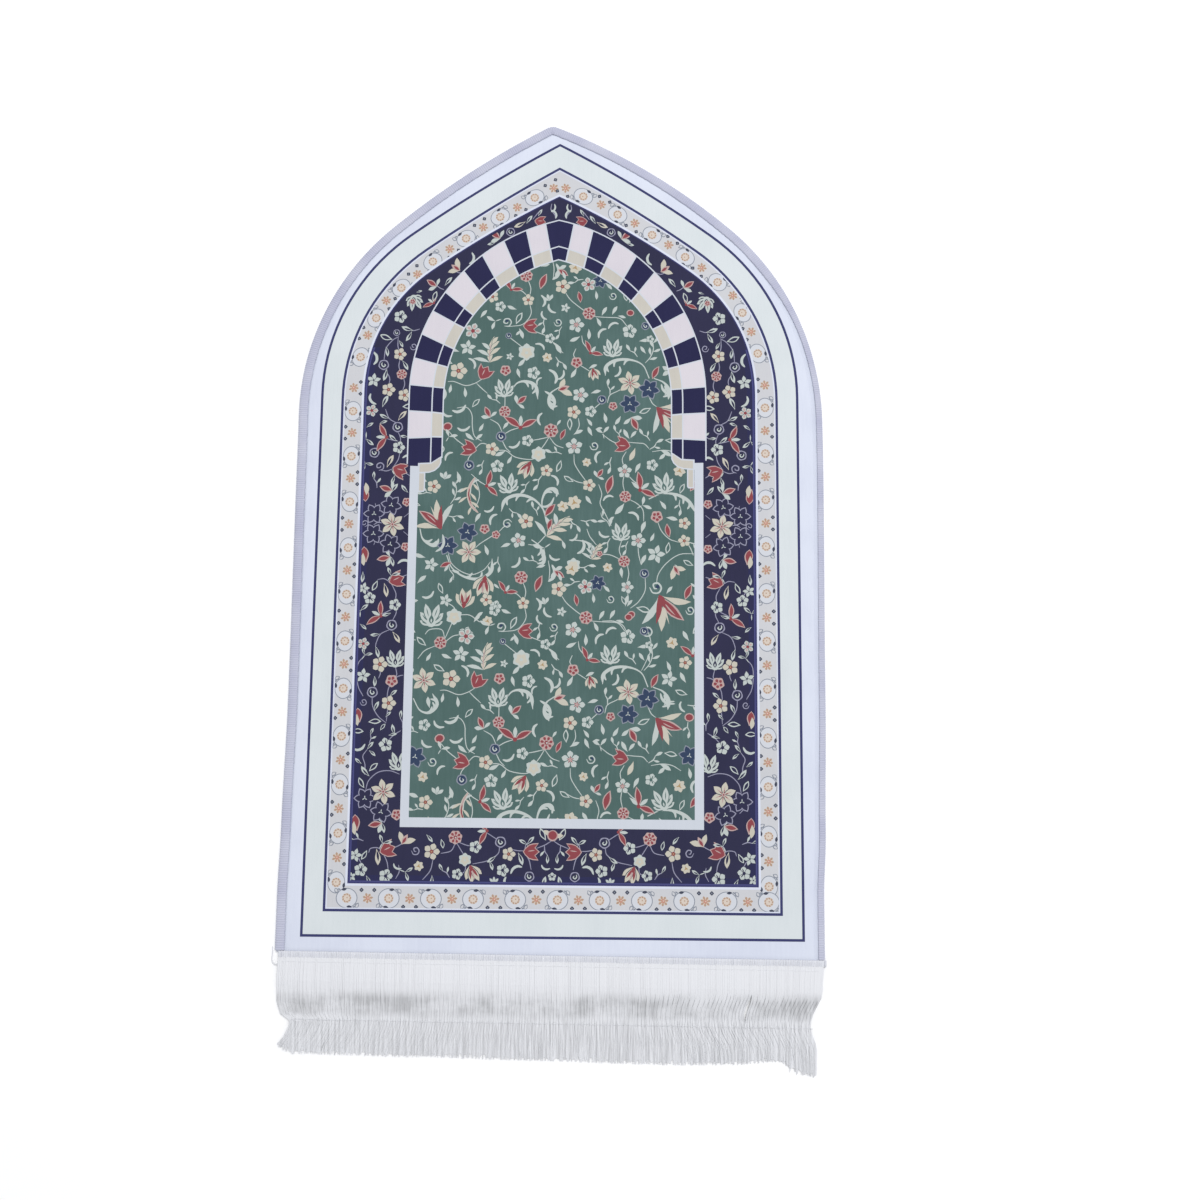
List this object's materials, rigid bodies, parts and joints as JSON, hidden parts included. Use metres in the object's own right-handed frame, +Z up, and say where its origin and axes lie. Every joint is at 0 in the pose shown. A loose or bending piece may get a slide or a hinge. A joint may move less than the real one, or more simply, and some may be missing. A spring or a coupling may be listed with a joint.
{
  "type": "prayer mat",
  "caption": "Arch-shaped padded cloth prayer mat with a printed floral niche, overlocked edge and a long white fringe along its straight hem, lying flat.",
  "frame": {"origin": "on the floor, under the middle of the whole length and width, fringe included", "axes": "+Y toward the point of the arch, +X to the right of a person facing the point, +Z up out of the printed face"},
  "size_m": [0.6554, 1.1724, 0.0065],
  "materials": {
    "printed_velvet": "short printed pile, matt",
    "overlock_thread": "ribbed thread, matt",
    "fringe_yarn": "soft twisted yarn, slight sheen"
  },
  "bodies": {
    "root": {"mat": "printed_velvet", "edge_band": "overlock_thread", "fringe": "fringe_yarn"}
  },
  "joints": []
}
